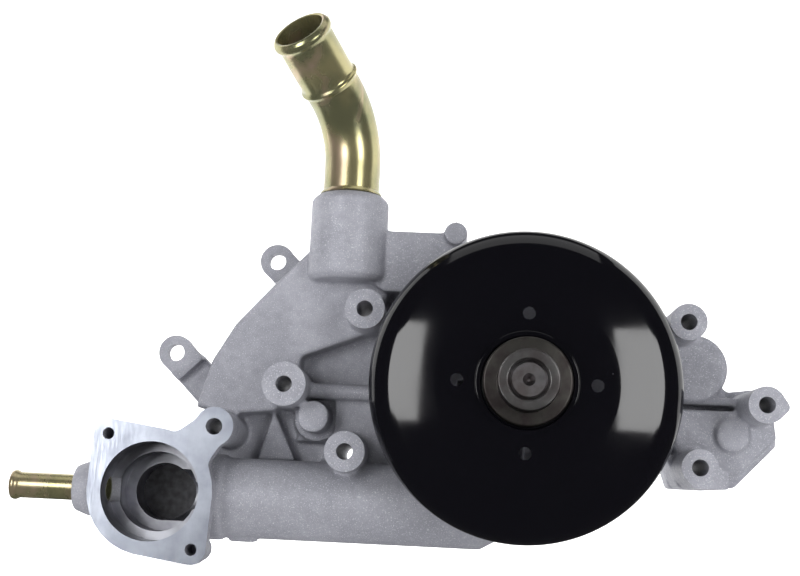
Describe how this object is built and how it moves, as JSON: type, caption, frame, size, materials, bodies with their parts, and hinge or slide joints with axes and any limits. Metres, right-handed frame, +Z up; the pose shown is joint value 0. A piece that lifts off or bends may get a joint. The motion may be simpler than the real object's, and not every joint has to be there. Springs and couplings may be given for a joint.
{
  "type": "water pump",
  "caption": "Engine coolant pump: cast housing with bolt bosses, open thermostat pocket, bent hose tube, heater nipple and a domed ribbed-belt pulley on a stepped hub.",
  "frame": {"origin": "on the shaft's axis, in the plane of the two pads that bolt to the engine block", "axes": "+X to the right seen from the pulley side, +Y along the shaft from the pulley towards the engine block, +Z up, towards the hose tube"},
  "size_m": [0.4274, 0.131, 0.3053],
  "materials": {
    "cast_aluminium": "as cast, fine matt skin, with milled faces",
    "cover_steel": "pressed sheet, satin",
    "gasket": "matt",
    "bolt_steel": "zinc plated",
    "yellow_zinc": "yellow passivated zinc, glossy",
    "seal_rubber": "matt",
    "bright_steel": "ground",
    "carbon": "lapped carbon",
    "ceramic": "ground ceramic",
    "pulley_black": "gloss black paint",
    "hub_steel": "turned, oiled",
    "impeller_steel": "pressed steel"
  },
  "bodies": {
    "casting": {"pump_housing": "cast_aluminium", "rear_cover_plate": "cover_steel", "rear_cover_gasket": "gasket", "cover_bolt_1": "bolt_steel", "cover_bolt_2": "bolt_steel", "cover_bolt_3": "bolt_steel", "cover_bolt_4": "bolt_steel", "cover_bolt_5": "bolt_steel", "cover_bolt_6": "bolt_steel", "cover_bolt_7": "bolt_steel", "cover_bolt_8": "bolt_steel", "outlet_tube": "yellow_zinc", "heater_nipple": "yellow_zinc", "bearing_outer_ring": "bright_steel", "bearing_front_seal": "seal_rubber", "bearing_rear_seal": "seal_rubber", "seal_case": "bright_steel", "seal_bellows": "seal_rubber", "seal_spring": "bright_steel", "seal_carbon_ring": "carbon"},
    "rotor": {"pulley": "pulley_black", "pulley_hub": "hub_steel", "bearing_shaft": "bright_steel", "impeller": "impeller_steel", "seal_seat_ring": "ceramic", "seal_seat_cup": "seal_rubber"},
    "ball_row": {"ball_cage": "bright_steel", "ball_1": "bright_steel", "ball_2": "bright_steel", "ball_3": "bright_steel", "ball_4": "bright_steel", "ball_5": "bright_steel", "ball_6": "bright_steel", "ball_7": "bright_steel", "ball_8": "bright_steel"},
    "roller_row": {"roller_cage": "bright_steel", "roller_1": "bright_steel", "roller_2": "bright_steel", "roller_3": "bright_steel", "roller_4": "bright_steel", "roller_5": "bright_steel", "roller_6": "bright_steel", "roller_7": "bright_steel", "roller_8": "bright_steel", "roller_9": "bright_steel"}
  },
  "joints": [
    {"name": "shaft_spin", "type": "hinge", "parent": "casting", "child": "rotor", "pos_m": [0, -0.085, 0], "axis": [0, 1, 0], "continuous": true},
    {"name": "ball_row_orbit", "type": "hinge", "parent": "casting", "child": "ball_row", "pos_m": [0, -0.07576, 0], "axis": [0, 1, 0], "continuous": true},
    {"name": "roller_row_orbit", "type": "hinge", "parent": "casting", "child": "roller_row", "pos_m": [0, -0.0934, 0], "axis": [0, 1, 0], "continuous": true}
  ],
  "couplings": [
    {"joint": "ball_row_orbit", "follows": "shaft_spin", "ratio": 0.36},
    {"joint": "roller_row_orbit", "follows": "shaft_spin", "ratio": 0.38}
  ]
}
